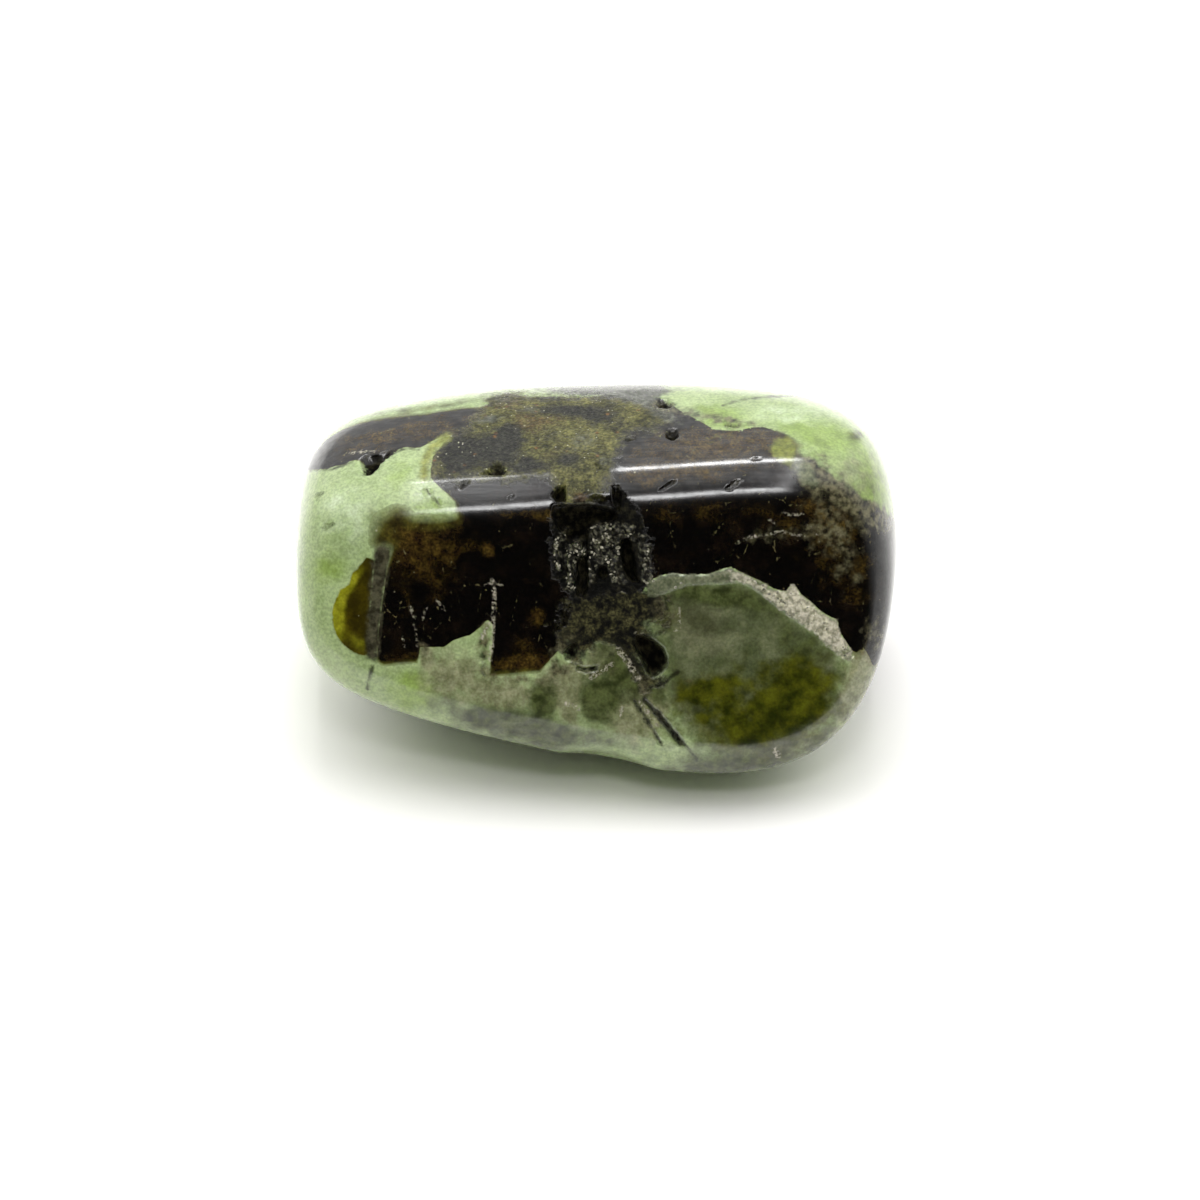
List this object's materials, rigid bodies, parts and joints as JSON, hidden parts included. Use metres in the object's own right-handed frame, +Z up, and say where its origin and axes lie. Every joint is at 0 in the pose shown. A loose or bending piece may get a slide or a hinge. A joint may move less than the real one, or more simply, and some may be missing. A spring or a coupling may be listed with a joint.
{
  "type": "amphibole tumbled stone",
  "caption": "Small polished tumbled stone, dark amphibole in pale green translucent prehnite, with a shallow dish, a pitted crevice and a flat resting spot.",
  "frame": {"origin": "on the resting surface, under the middle of the stone's box", "axes": "+X along the stone's length, -Y out of its polished front face, +Z up from the flat resting spot"},
  "size_m": [0.03, 0.0188, 0.0161],
  "materials": {
    "polished_stone": "tumble-polished, near-black amphibole in pale green translucent prehnite, with rough unpolished patches"
  },
  "bodies": {
    "root": {"tumbled_stone": "polished_stone"}
  },
  "joints": []
}
